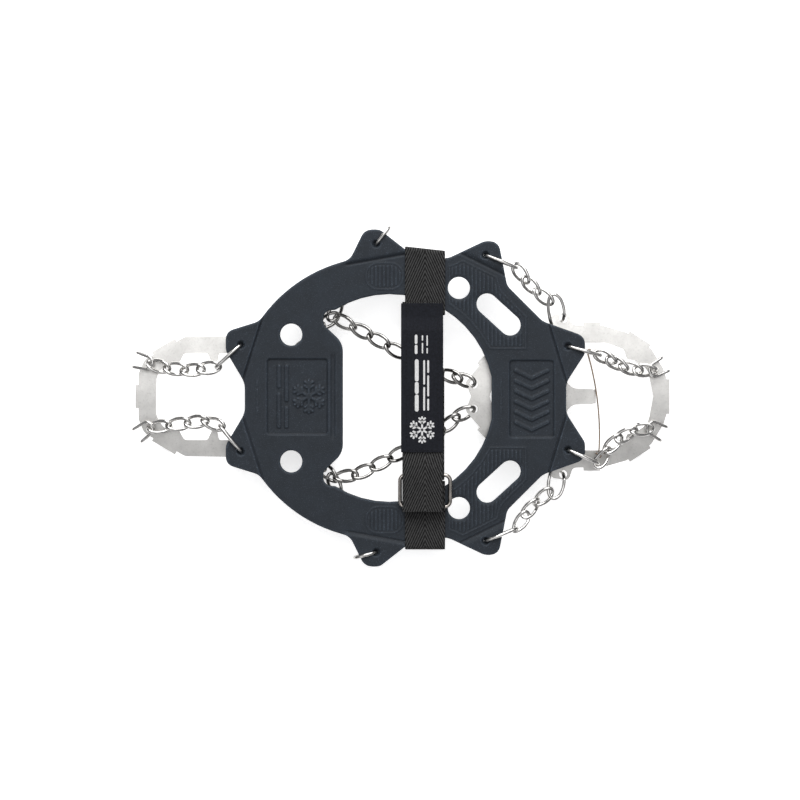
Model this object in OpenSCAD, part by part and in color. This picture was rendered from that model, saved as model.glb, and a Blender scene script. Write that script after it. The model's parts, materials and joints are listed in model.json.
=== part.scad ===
/* [Harness] */
// Thickness of the rubber harness
harness_t = 3.2; // [3:0.1:3.4]
// Height of the underside of the harness above the ground
harness_z = 19.9; // [19.9:0.1:20.4]
// Outer radius of the harness ring around the instep
ring_r = 88; // [87:0.5:89]
// Radius of the opening for the boot's instep
opening_r = 62.2; // [61:0.1:63]
// Radius of the round end of a lug
lug_r = 8.2; // [8:0.1:8.4]
// Radius of the hole in a lug
lug_hole_r = 2.1; // [2.1:0.05:2.3]
// Radius of a vent hole
vent_r = 6.6; // [6:0.1:7]

/* [Plates] */
// Thickness of the stainless plates
plate_t = 1.5; // [1.4:0.05:1.6]
// Height of the top face of the plates
plate_top = 14; // [13.8:0.1:14.1]
// Radius of the holes that take chain links
link_hole_r = 2.4; // [2.3:0.05:2.6]

/* [Wire and chain] */
// Diameter of the wire in chain links, lug rings and yokes
wire_d = 2; // [1.9:0.05:2]
// Outer length of a chain link
link_len = 16.4; // [16.2:0.05:16.5]
// Outer width of a chain link
link_wid = 8; // [7.9:0.1:8.2]
// Outer length of a lug ring
ring_len = 22.4; // [22.2:0.1:22.6]
// Outer width of a lug ring
ring_wid = 9.6; // [9.5:0.1:9.8]
// Diameter of the thin wire between the toe chains
spreader_d = 0.9; // [0.8:0.1:1]

/* [Strap] */
// Width of the strap webbing
strap_w = 24; // [23:0.5:24.5]
// Thickness of the webbing
web_t = 1.3; // [1.2:0.05:1.3]
// Diameter of the buckle loop's wire
buckle_d = 2.4; // [2.2:0.1:2.5]

/* [Hidden] */
SIDES = ["left", "right"];
$fn = 32;
gap = 0.3;
// How far the crossing points at a lug ring and at a yoke lie from the wire there
ring_slack = 0.7;
yoke_slack = 2;
// From the crossing point of two linked wires to the middle of either wire
hook = (wire_d + gap) / 2;

harness_top = harness_z + harness_t;
lug_z = harness_z + harness_t / 2;
plate_mid = plate_top - plate_t / 2;

// Lug holes on the left side: toe, ball of the foot, arch and heel
toe_hole = [100.6, 31];
ball_hole = [51.2, 85.6];
arch_hole = [-14.3, 92.3];
heel_hole = [-95.2, 32];

// Directions of the lug rings, left then right, in degrees from straight ahead
toe_aim = [-15.5, -24];
ball_aim = [-22, 22];
arch_aim = [51, -165];
heel_aim = [221.5, 130];

// The arch rings are shorter and wider, and hang below the harness
arch_ring_len = 16.4;
arch_ring_wid = 12;
arch_ring_drop = 1.8;
arch_ring_start = -0.8;

// Half of the harness outline, from the back edge round the left side to the front edge,
// as corners with their rounding radius; the ring between the back lug and the arch lug is one large round
ring_mid = [-6, 0];
outline = [
    [-93, 9, 14], [-104.4, 28.3, lug_r], [-104.4, 39.8, 6], [-84.5, 46, 8],
    [-64.6, 72.9, ring_r],
    [-30, 83, 8], [-21.2, 101, 7], [-12.1, 101, 6], [6.5, 86.4, 6],
    [28, 83.4, 12], [50.5, 94, lug_r], [59, 94, 6], [64.3, 67.2, 8],
    [85.5, 46, 12], [110.9, 36.9, 6.5], [110.9, 26.6, 6.5], [99.6, 9.2, 12]
];
// Half of the instep opening: the back panel's straight edge, the notch beside it, then the round
opening_edge = [[-34.2, 33, 12], [-46.2, 44.4, 5], [-45.6, 52.6, 5]];
opening_arc = arc(ring_mid, opening_r, 122, 12, 14);
// The four long slots in the front panels: centres of the round ends and their radius
slot_ends = [[52.2, 56.4], [66, 43.8]];
slot_run = slot_ends[1] - slot_ends[0];
slot_r = 6.3;
vents = [[-65.2, 38], [35.3, 66]];

// Half outlines of the steel plates as corners with rounding radius
plate_y = 0.9;
front_outer = [
    [42.8, 0, 0], [39.4, 8.6, 2.5], [50, 20.8, 2], [57, 27, 8], [89, 39, 3],
    [91.4, 49, 2.5], [101.6, 50.6, 3], [104, 42.8, 3],
    [121.4, 42.8, 6], [136.2, 38.6, 2], [151.4, 28.6, 3], [158.6, 16.8, 3], [160.4, 11, 2]
];
tongue_half = 4.6;
tongue_tip = 116;
front_toe_hole = [
    [tongue_tip, tongue_half, 0], [99.6, tongue_half, 8], [99.6, 27, 4], [109, 32.4, 4],
    [124.4, 32.4, 14], [134.8, 28.6, 3], [136.8, 22.6, 1.2], [141, 22, 3], [149.4, 16.6, 10], [152.6, 0, 0]
];
front_mid_hole = [[54, 0, 0], [58, 14, 12], [70, 24, 10], [88, 26, 6], [90, 0, 0]];
heel_outer = [
    [-157.4, 14, 3], [-154, 22, 8], [-129.4, 36, 6], [-88, 36.6, 6], [-78, 30, 4]
];
heel_inner = [
    [-147, 12, 12], [-142, 19, 4], [-133.4, 19.6, 1.5], [-130, 26.2, 3], [-116, 26.2, 2],
    [-113.6, 21.2, 1], [-110, 21.2, 1], [-109, 26.2, 1.5], [-90, 26.2, 4]
];

// Closed ends and directions of the yokes, left then right
toe_apex = [[150.2, 15.2], [148.8, -16.6]];
toe_yoke_aim = [28, -26];
heel_apex = [[-148.8, 20.2], [-149.2, -16.2]];
heel_yoke_aim = [165, 215];
apex_z = 18.6;
yoke_r = 3.9;
yoke_spread = 4;
yoke_leg = 6.6;
yoke_tail = 2.2;
yoke_hook_r = 2.45;

// Plate holes that hold the last links, and the directions of those links
ear_hole = [[98.3, 47.7], [98.3, -45.9]];
ear_aim = [130, -130];
ear_rise = 3.2;
rear_hole = [[44.4, 8.3], [44.4, -6.5]];
heel_front_hole = [[-82, 28.9], [-82, -27.1]];

// Crossing points of the links, in order away from the lug rings
toe_path = [
    [[126.4, 22.8, 20.9], [134.4, 18.8, 20.2], [142.8, 16.8, 19.4]],
    [[124.6, -31.4, 20.8], [131.4, -24.4, 20.2], [140.2, -19.6, 19.4]]
];
heel_path = [
    [[-119.4, 17.4, 20.8], [-129.4, 16.6, 19.8], [-139.4, 17.6, 19.2]],
    [[-116.6, -13.6, 20.8], [-127.4, -15, 19.8], [-138.6, -16.4, 19.2]]
];
// Chains from the heel plate: direction and rise of the link in the plate, then the crossing points up to
// the free end; the middle and arch chains both hang in the last link
rear_aim = [-12.6, 10];
rear_rise = [0.9, 0.6];
rear_path = [
    [[-62.3, 27.7], [-53.3, 34.3], [-46.9, 44.2], [-39.7, 49.0]],
    [[-60.8, -26.3], [-52.5, -34.8], [-47.2, -41.4], [-39.4, -48.9]]
];
join_z = 14.5;
// Crossing points of the middle chains, from the joins to the front plate's rear holes
mid_path = [
    [
        [-37.2, 47.6], [-28.8, 43], [-18.2, 37.4], [-7.6, 31.6],
        [3, 25.8], [13.8, 20.4], [24.8, 15.4], [36.2, 11.4]
    ],
    [
        [-37.6, -47.4], [-27.6, -46.4], [-16.6, -41.6], [-5.8, -36.4],
        [4.8, -30.8], [15.4, -25.1], [25.6, -18.8], [34.6, -11]
    ]
];
// Where the arch chains start on their rings and end in the joins
arch_start = [[-11.2, 96.2, 16.9], [-19.2, -94.7, 14.9]];
arch_end = [[-41.9, 47.9, 14.8], [-41.6, -47.3, 14.7]];
arch_links = 5;

// The thin wire's eyes: their middles and the directions of the runs they go round
spreader_ends = [[112.7, 27.6, 17.7], [119.3, -33.6, 21.15]];
spreader_aim = [-15.5, 55];
spreader_bow_r = 170;
eye_play = 0.35;

// Strap cross-section heights and lengths, measured from the middle of the boot opening
strap_x = 15;
wrap_in = 49.6;
wrap_out = 90.8;
bar_z = harness_top + gap + 2.5;
bar_hole_r = buckle_d / 2 + 0.05;
bar_low_y = -65;
bar_high_y = -46;
buckle_len = 30;
flap_hinge = [57.5, harness_top + gap + web_t + gap + web_t / 2];
flap_line = [
    flap_hinge, [48, flap_hinge[1]], [40, bar_z + 2.25], [-34, bar_z + 2.25],
    [-41, bar_z + 4.05], [-51, bar_z + 4.05], [-60, bar_z + 3.5], [-68, bar_z + 3.5]
];

function side(s) = s == "left" ? 0 : 1;
function sign_of(s) = s == "left" ? 1 : -1;
function on_side(p, s) = [p[0], p[1] * sign_of(s)];
function polar(r, a) = [r * cos(a), r * sin(a)];
function with_z(p, z) = [p[0], p[1], z];
function arc(mid, r, from, to, n) =
    [for (i = [0:n]) let (p = mid + polar(r, from + (to - from) * i / n)) [p[0], p[1], 0]];
function flat(p) = [p[0], p[1]];

// Corners with a rounding radius become short runs of arc points
function corner(before, at, after, r, n = 6) =
    let (
        u = (before - at) / norm(before - at),
        v = (after - at) / norm(after - at),
        half = acos(u * v) / 2,
        mid = at + (u + v) / norm(u + v) * r / sin(half),
        from = at + u * r / tan(half) - mid,
        to = at + v * r / tan(half) - mid,
        start = atan2(from[1], from[0]),
        raw = atan2(to[1], to[0]) - start,
        turn = raw > 180 ? raw - 360 : raw < -180 ? raw + 360 : raw
    )
    [for (i = [0:n]) mid + polar(r, start + turn * i / n)];
function rounded(c) = [
    for (i = [0:len(c) - 1])
        let (n = len(c), before = c[(i + n - 1) % n], after = c[(i + 1) % n])
            each c[i][2] == 0 ? [flat(c[i])] : corner(flat(before), flat(c[i]), flat(after), c[i][2],
                c[i][2] > 40 ? 12 : 5)
];
function reversed(v) = [for (i = [len(v) - 1:-1:0]) v[i]];
function mirrored(half) = concat(half, [for (c = reversed(half)) [c[0], -c[1], c[2]]]);
function both(half) = [for (p = mirrored(half)) if (p[1] != 0 || p[2] == 0) p];
function without_twins(c) = [
    for (i = [0:len(c) - 1])
        let (before = c[(i + len(c) - 1) % len(c)])
            if (norm(flat(c[i]) - flat(before)) > 0.01) c[i]
];
module outline_of(half) {
    polygon(rounded(without_twins(both(half))));
}
module both_sides() {
    children();
    mirror([0, 1, 0]) children();
}

// An arc of wire about the Z axis, starting on the X axis
module bent_wire(r, angle, d = wire_d) {
    rotate_extrude(angle = angle)
        translate([r, 0])
            circle(d = d);
}
// A closed wire link on the X axis, centred on the origin
module wire_link(long, wide) {
    bend_r = (wide - wire_d) / 2;
    for (s = [0, 180])
        rotate([0, 0, s]) {
            translate([(long - wide) / 2, 0, 0])
                rotate([0, 0, -90])
                    bent_wire(bend_r, 180);
            translate([0, bend_r, 0])
                rotate([0, 90, 0])
                    cylinder(d = wire_d, h = long - wide, center = true);
        }
}
// Moves and turns something on the X axis so that it lies along the line from a to b, rolled about it
module along(a, b, roll) {
    d = b - a;
    translate((a + b) / 2)
        rotate([0, -atan2(d[2], norm([d[0], d[1]])), atan2(d[1], d[0])])
            rotate([roll, 0, 0])
                children();
}
// Links along a path, each rolled by the same step from the one before, so that neighbours cross
module chain(path, first_roll = 0, step = 90) {
    for (i = [0:len(path) - 2])
        along(path[i], path[i + 1], first_roll + i * step)
            wire_link(link_len, link_wid);
}
// Crossing points of n links along a straight line that bows sideways and sags in the middle
function run(a, b, n, bow = 0, sag = 0) =
    let (across = [a[1] - b[1], b[0] - a[0], 0] / norm(flat(b) - flat(a)))
    [
        for (i = [0:n])
            let (t = i / n, k = 4 * t * (1 - t))
                a + (b - a) * t + across * bow * k - [0, 0, sag * k]
    ];

// Where the first link crosses a lug ring's free end, on its way to the next crossing point
function ring_end(hole, aim, next) =
    let (tip = hole + polar(ring_len - wire_d, aim), d = flat(next) - tip)
    with_z(tip - d / norm(d) * ring_slack, lug_z);
module lug_ring(hole, aim, long, wide, start = 0, drop = 0) {
    translate(with_z(hole, lug_z - drop))
        rotate([0, 0, aim])
            translate([start + long / 2 - wire_d / 2, 0, 0])
                rotate([90, 0, 0])
                    wire_link(long, wide);
}

module harness() {
    color("darkslategray")
        difference() {
            translate([0, 0, harness_z])
                linear_extrude(harness_t)
                    difference() {
                        outline_of(outline);
                        outline_of(concat(opening_edge, opening_arc));
                    }
            both_sides() {
                for (p = [toe_hole, ball_hole, arch_hole, heel_hole])
                    translate([p[0], p[1], harness_z - 1])
                        cylinder(r = lug_hole_r, h = harness_t + 2);
                for (p = vents)
                    translate([p[0], p[1], harness_z - 1])
                        cylinder(r = vent_r, h = harness_t + 2);
                for (p = slot_ends)
                    translate([p[0], p[1], harness_z - 1])
                        cylinder(r = slot_r, h = harness_t + 2);
                translate(with_z((slot_ends[0] + slot_ends[1]) / 2, lug_z))
                    rotate([0, 0, atan2(slot_run[1], slot_run[0])])
                        cube([norm(slot_run), 2 * slot_r, harness_t + 2], center = true);
            }
        }
}

// A pointed tooth folded down from a plate's edge: mid of the fold, outward direction, width
module tooth(at, aim, wide) {
    translate([at[0], at[1], 0])
        rotate([0, 0, aim]) {
            translate([0.4, 0, 0])
                rotate([90, 0, 90])
                    linear_extrude(plate_t)
                        polygon([
                            [-wide / 2, plate_top], [-wide / 2, plate_top - 4], [-wide * 0.12, 0],
                            [wide * 0.12, 0], [wide / 2, plate_top - 4], [wide / 2, plate_top]
                        ]);
            translate([-2, -wide / 2, plate_top - plate_t])
                cube([2.6, wide, plate_t]);
        }
}
module plate(half_outer) {
    translate([0, 0, plate_top - plate_t])
        linear_extrude(plate_t)
            difference() {
                outline_of(half_outer);
                children();
            }
}
module link_hole(at) {
    translate([at[0], at[1], plate_top - plate_t - 1])
        cylinder(r = link_hole_r, h = plate_t + 2);
}
module front_plate() {
    color("silver")
        difference() {
            translate([0, plate_y, 0]) {
                plate(front_outer) {
                    outline_of(front_toe_hole);
                    outline_of(front_mid_hole);
                }
                both_sides() {
                    tooth([115.6, 42.8], 90, 10);
                    tooth([143.8, 33.6], 56.6, 15);
                    tooth([50.4, 21.2], 138, 7);
                }
                tooth([160.4, 0], 0, 21);
                tooth([tongue_tip, 0], 0, 8.6);
            }
            for (s = [0, 1]) {
                link_hole(ear_hole[s]);
                link_hole(rear_hole[s]);
            }
        }
}
module heel_plate() {
    color("silver")
        difference() {
            translate([0, plate_y, 0]) {
                plate(heel_outer)
                    outline_of(heel_inner);
                both_sides() {
                    tooth([-141.6, 29.1], 120.6, 16);
                    tooth([-111.8, 21.6], 270, 3.6);
                    tooth([-98, 36.4], 90, 12);
                }
                tooth([-78, 0], 0, 16);
                tooth([-157.4, 0], 180, 14);
            }
            for (s = [0, 1])
                link_hole(heel_front_hole[s]);
        }
}

// A wire yoke: a closed bend that holds the chain, and two legs that hook round the plate's outer edge
module yoke(apex, aim) {
    slope = asin((apex_z - plate_top - gap - wire_d / 2) / (yoke_r + yoke_leg));
    color("gainsboro")
        translate(with_z(apex, apex_z))
            rotate([0, slope, aim])
                translate([yoke_r, 0, 0]) {
                    rotate([0, 0, 90 + yoke_spread])
                        bent_wire(yoke_r, 180 - 2 * yoke_spread);
                    for (s = [1, -1])
                        rotate([0, 0, s * yoke_spread])
                            translate([0, s * yoke_r, 0])
                                yoke_leg();
                }
}
module yoke_leg() {
    rotate([0, 90, 0])
        cylinder(d = wire_d, h = yoke_leg);
    translate([yoke_leg, 0, -yoke_hook_r])
        rotate([90, 0, 0])
            rotate([0, 0, -90])
                bent_wire(yoke_hook_r, 180);
    translate([yoke_leg - yoke_tail, 0, -2 * yoke_hook_r])
        rotate([0, 90, 0])
            cylinder(d = wire_d, h = yoke_tail);
}
function yoke_node(apex, aim, before) =
    let (mid = apex + polar(yoke_r, aim), d = mid - flat(before))
    with_z(mid - d / norm(d) * yoke_slack, apex_z - gap);

// A link through a plate's hole, and the crossing point at its free end
function last_node(hole, aim, rise) = with_z(hole + polar(link_len - wire_d - hook, aim), plate_mid + rise);
module last_link(hole, aim, rise) {
    along(with_z(hole, plate_mid), last_node(hole, aim, rise), 90)
        translate([hook / 2, 0, 0])
            wire_link(link_len, link_wid);
}
module ear_link(s) {
    color("gainsboro")
        last_link(ear_hole[side(s)], ear_aim[side(s)], ear_rise);
}

// A chain from a lug ring to a yoke
module yoked_chain(hole, aim, path, apex, yoke_aim) {
    first = ring_end(hole, aim, path[0]);
    last = yoke_node(apex, yoke_aim, path[len(path) - 1]);
    chain(concat([first], path, [last]));
}
module toe_chain(s) {
    i = side(s);
    color("gainsboro")
        yoked_chain(on_side(toe_hole, s), toe_aim[i], toe_path[i], toe_apex[i], toe_yoke_aim[i]);
}
module heel_chain(s) {
    i = side(s);
    color("gainsboro")
        yoked_chain(on_side(heel_hole, s), heel_aim[i], heel_path[i], heel_apex[i], heel_yoke_aim[i]);
}
module ball_chain(s) {
    i = side(s);
    end = last_node(ear_hole[i], ear_aim[i], ear_rise);
    start = ring_end(on_side(ball_hole, s), ball_aim[i], end);
    color("gainsboro")
        chain(run(start, end, 3, bow = sign_of(s) * -1.4));
}

// The middle chain starts and ends on edge, and its links turn evenly in between
module mid_chain(s) {
    i = side(s);
    path = [for (p = mid_path[i]) with_z(p, join_z)];
    links = len(path) - 1;
    last = path[links];
    hole = with_z(rear_hole[i], plate_mid);
    color("gainsboro") {
        chain(path, 90, 90 + 90 / links);
        along(last, hole, 90)
            translate([(norm(hole - last) - link_len + wire_d + hook) / 2, 0, 0])
                wire_link(link_len, link_wid);
    }
}
// The links turn evenly from the one on edge in the heel plate to the flat one at the free end
module rear_chain(s) {
    i = side(s);
    first = last_node(heel_front_hole[i], rear_aim[i], rear_rise[i]);
    path = concat([first], [for (p = rear_path[i]) with_z(p, join_z)]);
    turn = sign_of(s) * 270 / (len(path) - 1);
    color("gainsboro") {
        last_link(heel_front_hole[i], rear_aim[i], rear_rise[i]);
        chain(path, 90 + turn, turn);
    }
}
// The arch chain hangs on its ring and runs in under the harness
module arch_chain(s) {
    i = side(s);
    path = run(arch_start[i], arch_end[i], arch_links, sag = 3);
    color("gainsboro")
        if (s == "left") chain(path, 0, 112.5);
        else chain(path, 90);
}
module ring_of(hole, aims, s) {
    color("gainsboro")
        lug_ring(on_side(hole, s), aims[side(s)], ring_len, ring_wid);
}
module arch_ring(s) {
    color("gainsboro")
        lug_ring(on_side(arch_hole, s), arch_aim[side(s)], arch_ring_len, arch_ring_wid,
            arch_ring_start, arch_ring_drop);
}

// The thin wire between the toe chains: an arc with an eye round the left lug ring and the first right link
module toe_spreader_wire() {
    eye_r = (wire_d + spreader_d) / 2 + eye_play;
    a = spreader_ends[0] - [0, 0, eye_r];
    b = spreader_ends[1] - [0, 0, eye_r];
    half = asin(norm(a - b) / 2 / spreader_bow_r);
    color("peru") {
        along(a, b, 0)
            translate([0, -spreader_bow_r * cos(half), 0])
                rotate([0, 0, 90 - half])
                    bent_wire(spreader_bow_r, 2 * half, spreader_d);
        for (k = [0, 1])
            translate(spreader_ends[k])
                rotate([90, 0, 90 + spreader_aim[k]])
                    bent_wire(eye_r, 360, spreader_d);
    }
}

module on_strap() {
    translate([strap_x - strap_w / 2, 0, 0])
        rotate([90, 0, 90])
            linear_extrude(strap_w)
                children();
}
module wrap_profile() {
    low = harness_z - gap;
    high = harness_top + gap;
    difference() {
        translate([wrap_in, low - web_t])
            square([wrap_out - wrap_in, high - low + 2 * web_t]);
        translate([wrap_in + web_t, low])
            square([wrap_out - wrap_in - 2 * web_t, high - low]);
    }
}
module strap_wrap() {
    color("black")
        on_strap()
            wrap_profile();
}
module buckle_anchor() {
    color("black")
        difference() {
            union() {
                mirror([0, 1, 0])
                    on_strap()
                        wrap_profile();
                translate([strap_x, bar_low_y, bar_z])
                    rotate([0, 90, 0])
                        cylinder(r = bar_hole_r + web_t, h = strap_w, center = true);
            }
            translate([strap_x, bar_low_y, bar_z])
                rotate([0, 90, 0])
                    cylinder(r = bar_hole_r, h = strap_w + 2, center = true);
        }
}
module buckle_loop() {
    bend = 3.5;
    straight = buckle_len - 2 * bend;
    side_len = bar_high_y - bar_low_y - 2 * bend;
    color("gainsboro")
        translate([strap_x, (bar_low_y + bar_high_y) / 2, bar_z])
            for (s = [0, 180])
                rotate([0, 0, s]) {
                    translate([0, (bar_high_y - bar_low_y) / 2, 0])
                        rotate([0, 90, 0])
                            cylinder(d = buckle_d, h = straight, center = true);
                    translate([buckle_len / 2, 0, 0])
                        rotate([90, 0, 0])
                            cylinder(d = buckle_d, h = side_len, center = true);
                    for (k = [1, -1])
                        translate([straight / 2, k * side_len / 2, 0])
                            rotate([0, 0, k == 1 ? 0 : -90])
                                bent_wire(bend, 90, buckle_d);
                }
}
// The short strap that is folded round the buckle's upper bar and lies under the flap
module buckle_strap() {
    color("black")
        translate([strap_x, bar_high_y, bar_z])
            difference() {
                union() {
                    rotate([0, 90, 0])
                        cylinder(r = buckle_d / 2 + 0.6 + web_t, h = strap_w - 1, center = true);
                    translate([-(strap_w - 1) / 2, 0, -web_t])
                        cube([strap_w - 1, 62, 2 * web_t]);
                }
                rotate([0, 90, 0])
                    cylinder(r = buckle_d / 2 + 0.6, h = strap_w + 2, center = true);
            }
}
// A band of constant thickness along a line in the strap's side view
function offset_line(line, d) = [for (p = line) [p[0], p[1] + d]];
module strap_flap() {
    color("black")
        on_strap()
            polygon(concat(offset_line(flap_line, -web_t / 2), reversed(offset_line(flap_line, web_t / 2))));
}
module strap_label() {
    label_w = strap_w + 0.6;
    label_t = 0.7;
    line = [[56.6, flap_line[0][1]], flap_line[1], flap_line[2], [-32.4, flap_line[3][1]]];
    color("midnightblue")
        translate([strap_x - label_w / 2, 0, 0])
            rotate([90, 0, 90])
                linear_extrude(label_w)
                    polygon(concat(
                        offset_line(line, web_t / 2), reversed(offset_line(line, web_t / 2 + label_t))
                    ));
}

harness();
front_plate();
heel_plate();
toe_spreader_wire();
strap_wrap();
strap_flap();
strap_label();
buckle_loop();
buckle_strap();
buckle_anchor();
for (s = SIDES) {
    ring_of(toe_hole, toe_aim, s);
    ring_of(ball_hole, ball_aim, s);
    arch_ring(s);
    ring_of(heel_hole, heel_aim, s);
    toe_chain(s);
    ball_chain(s);
    arch_chain(s);
    heel_chain(s);
    mid_chain(s);
    rear_chain(s);
    yoke(toe_apex[side(s)], toe_yoke_aim[side(s)]);
    yoke(heel_apex[side(s)], heel_yoke_aim[side(s)]);
    ear_link(s);
}
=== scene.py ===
"""Looks for the ice cleats: detailed rubber, webbing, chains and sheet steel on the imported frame."""
import json
import math

import bmesh
import bpy
import numpy as np
from mathutils import Matrix, Vector, kdtree


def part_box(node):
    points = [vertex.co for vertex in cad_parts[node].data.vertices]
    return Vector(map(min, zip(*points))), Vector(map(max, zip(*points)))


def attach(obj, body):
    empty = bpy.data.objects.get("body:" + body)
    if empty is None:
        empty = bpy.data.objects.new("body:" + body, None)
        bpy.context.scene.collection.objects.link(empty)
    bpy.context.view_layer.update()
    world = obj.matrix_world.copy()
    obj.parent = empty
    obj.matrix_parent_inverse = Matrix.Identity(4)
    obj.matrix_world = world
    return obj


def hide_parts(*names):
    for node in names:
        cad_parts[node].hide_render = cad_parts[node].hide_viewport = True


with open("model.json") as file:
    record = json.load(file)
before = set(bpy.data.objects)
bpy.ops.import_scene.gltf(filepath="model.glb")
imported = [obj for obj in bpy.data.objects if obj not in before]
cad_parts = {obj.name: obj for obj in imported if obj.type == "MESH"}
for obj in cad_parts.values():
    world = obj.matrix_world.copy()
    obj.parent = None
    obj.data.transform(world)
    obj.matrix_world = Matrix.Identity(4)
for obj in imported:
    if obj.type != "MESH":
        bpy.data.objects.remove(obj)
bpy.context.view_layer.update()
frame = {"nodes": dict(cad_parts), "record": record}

MM = 0.001
UP = Vector((0, 0, 1))
SIDES = ("left", "right")

# ---------------------------------------------------------------- camera, floor and lights

VIEW_WIDTH = 480 * MM
VIEW_HEIGHT_ABOVE = 1.6
VIEW_Y = -1.2 * MM
FOCUS_Z = 20 * MM
SENSOR = 36
# Brightness of the sky by height: dark at the horizon, bright overhead
SKY = ((0.05, 0.05), (0.50, 0.25), (0.90, 0.45))
SKY_BLUE = 1.02
FLOOR_HALF = 3


def area_light(name, at, size, energy):
    """A lamp that shines at the middle of the scene."""
    data = bpy.data.lights.new(name, "AREA")
    data.shape = "RECTANGLE"
    data.size, data.size_y = size
    data.energy = energy
    lamp = bpy.data.objects.new(name, data)
    lamp.location = at
    lamp.rotation_euler = (-Vector(at)).to_track_quat("-Z", "Y").to_euler()
    bpy.context.scene.collection.objects.link(lamp)


def make_camera():
    """Looks straight down, and takes in VIEW_WIDTH at the height of the object."""
    data = bpy.data.cameras.new("camera")
    data.sensor_width = SENSOR
    data.lens = SENSOR * VIEW_HEIGHT_ABOVE / VIEW_WIDTH
    data.clip_start = 0.05
    camera = bpy.data.objects.new("camera", data)
    camera.location = (0, VIEW_Y, FOCUS_Z + VIEW_HEIGHT_ABOVE)
    bpy.context.scene.collection.objects.link(camera)
    bpy.context.scene.camera = camera


def make_world():
    world = bpy.data.worlds.new("studio")
    world.use_nodes = True
    bpy.context.scene.world = world
    nodes, links = world.node_tree.nodes, world.node_tree.links
    background = nodes["Background"]
    coords = nodes.new("ShaderNodeTexCoord")
    split = nodes.new("ShaderNodeSeparateXYZ")
    ramp = nodes.new("ShaderNodeValToRGB")
    links.new(coords.outputs["Generated"], split.inputs[0])
    links.new(split.outputs["Z"], ramp.inputs[0])
    links.new(ramp.outputs["Color"], background.inputs["Color"])
    elements = ramp.color_ramp.elements
    elements.new(0.5)
    for element, (position, value) in zip(elements, SKY):
        element.position = position
        element.color = (value, value, value * SKY_BLUE, 1)


# ---------------------------------------------------------------- materials

STRAP_X = 15 * MM
# The webbing's herringbone: distance between ridges in mm, and how much they climb
TWILL_PITCH = 1.5
TWILL_SLOPE = 0.45
# How much the sheet steel's shading curves from side to side
CAMBER = 1.3


def set_inputs(node, **values):
    for key, value in values.items():
        node.inputs[key.replace("_", " ")].default_value = value


class Shader:
    """A Principled material with a few procedural helpers. Its lengths are in millimetres."""

    def __init__(self, name, roughness=0.5, metallic=0.0, **sockets):
        self.material = bpy.data.materials.new(name)
        self.material.use_nodes = True
        self.nodes = self.material.node_tree.nodes
        self.links = self.material.node_tree.links
        self.bsdf = self.nodes["Principled BSDF"]
        set_inputs(self.bsdf, Roughness=roughness, Metallic=metallic, **sockets)
        self.coords = self.nodes.new("ShaderNodeTexCoord").outputs["Object"]
        self.normal = None

    def stretched(self, scale):
        mapping = self.nodes.new("ShaderNodeMapping")
        self.links.new(self.coords, mapping.inputs["Vector"])
        set_inputs(mapping, Scale=scale)
        return mapping.outputs["Vector"]

    def noise(self, size, detail=3.0, stretch=None):
        node = self.nodes.new("ShaderNodeTexNoise")
        set_inputs(node, Scale=1 / (size * MM), Detail=detail, Roughness=0.6)
        self.links.new(self.stretched(stretch) if stretch else self.coords, node.inputs["Vector"])
        return node.outputs["Fac"]

    def ramp(self, value, *stops):
        """Each stop is a place from 0 to 1, and the grey level or the colour there."""
        node = self.nodes.new("ShaderNodeValToRGB")
        elements = node.color_ramp.elements
        while len(elements) < len(stops):
            elements.new(0.5)
        for element, (position, color) in zip(elements, stops):
            element.position = position
            element.color = (*color, 1) if isinstance(color, tuple) else (color, color, color, 1)
        self.links.new(value, node.inputs["Fac"])
        return node.outputs["Color"]

    def math(self, operation, a, b=0.0):
        node = self.nodes.new("ShaderNodeMath")
        node.operation = operation
        for socket, value in zip(node.inputs, (a, b)):
            if isinstance(value, (int, float)):
                socket.default_value = value
            else:
                self.links.new(value, socket)
        return node.outputs[0]

    def mixed(self, a, b, factor=1.0, blend="MIX"):
        node = self.nodes.new("ShaderNodeMix")
        node.data_type = "RGBA"
        node.blend_type = blend
        # A colour mix node keeps its factor, A and B sockets at these places
        for socket, value in ((0, factor), (6, a), (7, b)):
            if isinstance(value, (int, float, tuple)):
                node.inputs[socket].default_value = value
            else:
                self.links.new(value, node.inputs[socket])
        return node.outputs[2]

    def edges(self, *stops):
        """A painted tone of light and shade that depends on how sharply the surface turns: 0.5 is flat,
        more is an edge.
        """
        geometry = self.nodes.new("ShaderNodeNewGeometry")
        return self.ramp(geometry.outputs["Pointiness"], *stops)

    def axes(self):
        """The place of a point as separate X, Y and Z, in metres."""
        split = self.nodes.new("ShaderNodeSeparateXYZ")
        self.links.new(self.coords, split.inputs[0])
        return split.outputs

    def color(self, output):
        self.links.new(output, self.bsdf.inputs["Base Color"])

    def roughness(self, output):
        self.links.new(output, self.bsdf.inputs["Roughness"])

    def bump(self, height, distance, strength=1.0):
        """Adds a bump on top of those already there."""
        node = self.nodes.new("ShaderNodeBump")
        set_inputs(node, Distance=distance * MM, Strength=strength)
        self.links.new(height, node.inputs["Height"])
        if self.normal:
            self.links.new(self.normal, node.inputs["Normal"])
        self.normal = node.outputs["Normal"]
        self.links.new(self.normal, self.bsdf.inputs["Normal"])


def grey(value, tint=(1, 1, 1)):
    return tuple(value * t for t in tint)


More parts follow.
